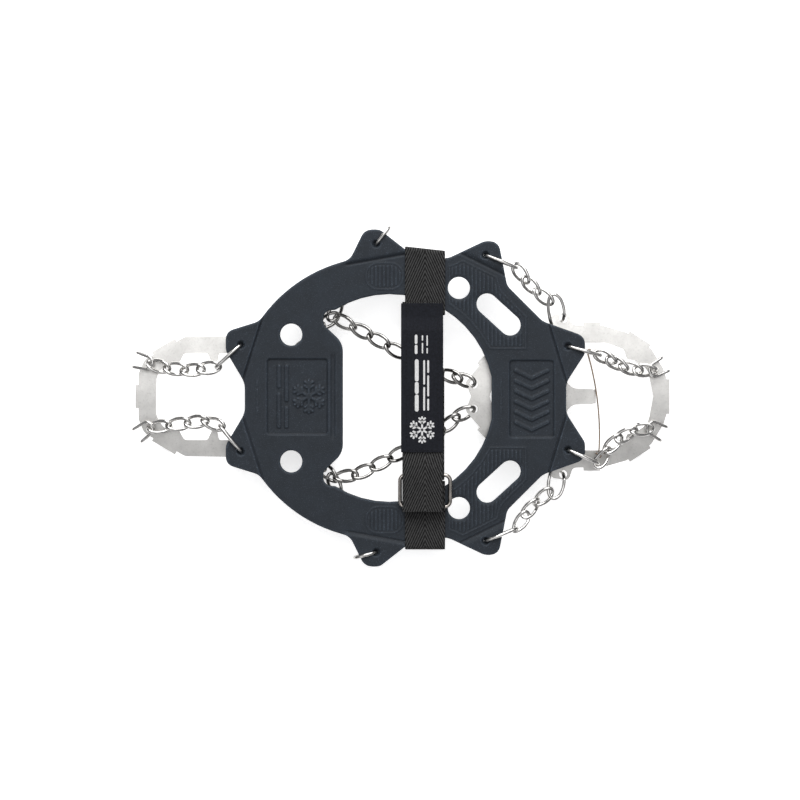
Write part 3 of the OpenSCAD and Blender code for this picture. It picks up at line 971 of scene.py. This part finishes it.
def band(path, width, thickness, closed, middle=STRAP_X):
    """A woven band that follows a path in the strap's side view."""
    stations = resampled(path, WEAVE_STEP, closed)
    count = len(stations)
    columns = int(width / WEAVE_STEP)
    half = width / 2
    vertices = []
    for i, point in enumerate(stations):
        before = stations[i - 1] if closed or i > 0 else point
        after = stations[(i + 1) % count] if closed or i < count - 1 else point
        tangent = (after - before).normalized()
        normal = Vector((-tangent.y, tangent.x))
        for side in (1, -1):
            for j in range(columns + 1):
                across = (-half + width * j / columns) * side
                lip = max(0.0, (abs(across) - half + SELVEDGE) / SELVEDGE)
                full = max(0.0, 1 - lip * lip) * (1 - SELVEDGE_LEFT) + SELVEDGE_LEFT
                y, z = point + normal * side * (thickness / 2 * math.sqrt(full))
                vertices.append((middle + across, y, z))
    around = 2 * (columns + 1)
    faces = grid_faces(count, around, wrap_rows=closed, wrap_columns=True)
    if not closed:
        faces += end_faces(count, around)
    return vertices, faces


def wrap_path(sign, reach):
    """The loop of webbing round the harness on one side, at mid thickness."""
    bottom = HARNESS_LOW - WEB_GAP - WEB_T / 2
    top = HARNESS_HIGH + WEB_GAP + WEB_T / 2
    inner = WRAP_INNER_Y + WEB_T / 2
    outer = reach - WEB_T / 2
    corners = [(inner, bottom, 1.4), (outer, bottom, 2.2), (outer, top, 2.2), (inner, top, 1.4)]
    return rounded_path([(y * sign, z, r * MM) for y, z, r in corners], True)


def ring_path(y, z, r, count=40):
    points = []
    for k in range(count):
        a = 2 * math.pi * k / count
        points.append(Vector((y + r * math.cos(a), z + r * math.sin(a))))
    return points


def build_upper_wrap():
    vertices, faces = band(wrap_path(1, UPPER_WRAP_Y), STRAP_W, WEB_T, True)
    slanted = []
    for x, y, z in vertices:
        slanted.append((x, y - WRAP_SLANT * (x - STRAP_X) * smooth(y / MM, 60, 89), z))
    piece = mesh_piece("upper_webbing", slanted, faces, WEBBING)
    place(piece, "harness", "webbing", "strap_wrap")


def build_lower_wrap():
    """The wrap on the buckle's side, and the sleeve that holds the buckle's outer bar."""
    wrap = band(wrap_path(-1, LOWER_WRAP_Y), STRAP_W, WEB_T, True)
    around_bar = ring_path(BUCKLE_OUTER_Y, BUCKLE_Z, BUCKLE_R + SLEEVE_SLACK + WEB_T / 2)
    sleeve = band(around_bar, STRAP_W, WEB_T, True)
    piece = mesh_piece("lower_webbing", *joined([wrap, sleeve]), WEBBING)
    place(piece, "harness", "webbing", "buckle_anchor")


def build_fold():
    """The webbing that folds back round the buckle's inner bar."""
    roll = BUCKLE_R + FOLD_SLACK + WEB_T / 2
    turn_y = BUCKLE_INNER_Y + 4 * MM
    above, below = BUCKLE_Z + WEB_T / 2, BUCKLE_Z - WEB_T / 2
    path = [Vector((FOLD_END_Y, above)), Vector((turn_y, above))]
    for k in range(FOLD_STEPS + 1):
        a = math.radians(105 + 150 * k / FOLD_STEPS)
        path.append(Vector((BUCKLE_INNER_Y + roll * math.cos(a), BUCKLE_Z + roll * math.sin(a))))
    path += [Vector((turn_y, below)), Vector((FOLD_END_Y, below))]
    fold = band(path, FOLD_W, FOLD_T, False)
    place(mesh_piece("buckle_webbing", *fold, WEBBING), "harness", "webbing", "buckle_strap")


def build_flap():
    """The free webbing, from its root over the opening and the buckle to its tip."""
    line = [
        (57.5, ROOT_Z, 0), (48, ROOT_Z, 6), (40, RUN_Z, 6), (-34, RUN_Z, 5),
        (-41, HUMP_Z, 5), (-51, HUMP_Z, 5), (-60, TIP_Z, 4), (-68, TIP_Z, 0),
    ]
    path = rounded_path([(y * MM, z, r * MM) for y, z, r in line], False)
    flap = band(path, STRAP_W, WEB_T, False, FLAP_X)
    place(mesh_piece("strap_flap_webbing", *flap, WEBBING), "strap_flap", "webbing", "strap_flap")


# ---------------------------------------------------------------- label

LABEL_X = 13.2 * MM
LABEL_W = 25.2 * MM
LABEL_T = 0.7 * MM
STITCH_IN = 3.2 * MM
STITCH_STEP = 2.3 * MM
THREAD_LONG = 1.5 * MM
THREAD_R = 0.28 * MM
END_STITCHES = 8
# The label's middle height over the flap's
LABEL_RISE = (WEB_T + LABEL_T) / 2
# Printed bars: x from the label's middle, the two ends of each in y, and half their width, in mm
PRINT_BARS = [
    (-3.2, ((-7, 1), (3.5, 8.5), (11, 22)), 1.15),
    (1.2, ((-7, 6), (8.5, 22)), 0.55),
    (3.6, ((-7, -1), (1.5, 13), (15.5, 22)), 0.55),
    (-3.6, ((27, 31), (33, 37)), 0.8),
    (0.2, ((27, 32.5), (34.5, 37)), 0.4),
    (3.0, ((27, 29.5), (31.5, 37)), 0.4),
]
PRINT_FLAKE = ((0, -19), 7.6)
PRINT_FLAKE_HALF = 0.55
PRINT_T = 0.05 * MM


def stitch(middle, direction):
    """One raised thread: a flattened capsule."""
    side = direction.cross(UP).normalized()
    rings, around = 7, 8
    vertices = []
    for i in range(rings):
        t = i / (rings - 1)
        swell = THREAD_R * math.sin(math.pi * (0.08 + 0.84 * t))
        at = middle + direction * THREAD_LONG * (t - 0.5)
        for k in range(around):
            a = 2 * math.pi * k / around
            vertices.append(at + side * swell * math.cos(a) + UP * swell * 0.6 * math.sin(a))
    return vertices, grid_faces(rings, around, wrap_columns=True) + end_faces(rings, around)


def printed_bar(a, b, half, z):
    """A flat bar with round ends between two points given in mm from the label's middle line."""
    a, b = (Vector((LABEL_X + x * MM, y * MM)) for x, y in (a, b))
    half = half * MM
    start = math.atan2(b.y - a.y, b.x - a.x)
    rim = []
    for centre, base in ((b, start - math.pi / 2), (a, start + math.pi / 2)):
        for k in range(7):
            t = base + math.pi * k / 6
            rim.append((centre.x + half * math.cos(t), centre.y + half * math.sin(t)))
    count = len(rim)
    vertices = [(x, y, z) for x, y in rim] + [(x, y, z + PRINT_T) for x, y in rim]
    faces = [tuple(reversed(range(count))), tuple(range(count, 2 * count))]
    faces += [(k, (k + 1) % count, count + (k + 1) % count, count + k) for k in range(count)]
    return vertices, faces


def side_stitches(path):
    """The two rows of stitches along the label's sides."""
    threads = []
    stations = resampled(path, STITCH_STEP, False)
    for before, point, after in zip(stations, stations[1:], stations[2:]):
        ahead = after - before
        direction = Vector((0, ahead.x, ahead.y)).normalized()
        for sign in (1, -1):
            x = LABEL_X + sign * (LABEL_W / 2 - STITCH_IN)
            threads.append(stitch(Vector((x, point.x, point.y + LABEL_T / 2)), direction))
    return threads


def end_stitches(y, z):
    """A row of stitches across one end of the label."""
    threads = []
    for k in range(END_STITCHES):
        x = LABEL_X + (k - (END_STITCHES - 1) / 2) * STITCH_STEP
        threads.append(stitch(Vector((x, y, z)), Vector((1, 0, 0))))
    return threads


def build_label():
    root_z, run_z = ROOT_Z + LABEL_RISE, RUN_Z + LABEL_RISE
    line = [(56.6, root_z, 0), (48, root_z, 6), (40, run_z, 6), (-32.4, run_z, 0)]
    path = rounded_path([(y * MM, z, r * MM) for y, z, r in line], False)
    cloth = band(path, LABEL_W, LABEL_T, False, LABEL_X)
    place(mesh_piece("label_cloth", *cloth, LABEL), "strap_flap", "label_fabric", "strap_label")

    half = LABEL_T / 2
    threads = side_stitches(path)
    threads += end_stitches(55.2 * MM, root_z + half)
    threads += end_stitches(-31.2 * MM, run_z + half)
    place(mesh_piece("label_stitching", *joined(threads), THREAD), "strap_flap", "label_fabric")

    z = run_z + half - 0.02 * MM
    marks = [printed_bar(a, b, PRINT_FLAKE_HALF, z) for a, b in snowflake_lines(*PRINT_FLAKE)]
    for x, spans, wide in PRINT_BARS:
        marks += [printed_bar((x, low), (x, high), wide, z) for low, high in spans]
    place(mesh_piece("label_print", *joined(marks), PRINT, smooth=False), "strap_flap", "label_fabric")


# ---------------------------------------------------------------- the scene

make_camera()
make_world()
corners = [(x * FLOOR_HALF, y * FLOOR_HALF, 0) for x, y in ((-1, -1), (1, -1), (1, 1), (-1, 1))]
mesh_piece("floor", corners, [(0, 1, 2, 3)], floor_material())
area_light("key", (0.0, 1.35, 1.05), (1.4, 0.9), 25)
area_light("fill", (-0.2, -0.9, 1.5), (1.4, 1.0), 3)
area_light("over", (0.0, 0.75, 2.2), (1.6, 1.6), 12)
bpy.context.scene.view_settings.view_transform = "Standard"

build_harness()
for plate_node in ("front_plate", "heel_plate"):
    build_plate(plate_node)
chance = np.random.default_rng(CHAIN_SEED)
for side_name in SIDES:
    for chain_name in ("toe", "ball", "arch", "heel", "mid", "rear"):
        build_chain(f"{chain_name}_chain_{side_name}", chance)
    build_ear_link(side_name)
    for ring_name in ("toe", "ball", "arch", "heel"):
        build_ring(f"{ring_name}_ring_{side_name}")
build_spreader()
build_upper_wrap()
build_lower_wrap()
build_fold()
build_flap()
build_label()

for node_name, node_object in frame["nodes"].items():
    if "_yoke_" in node_name:
        finish = STEEL_WIRE
    elif node_name == "buckle_loop":
        finish = BUCKLE_WIRE
    else:
        continue
    for material_slot in node_object.material_slots:
        material_slot.link = "OBJECT"
        material_slot.material = finish
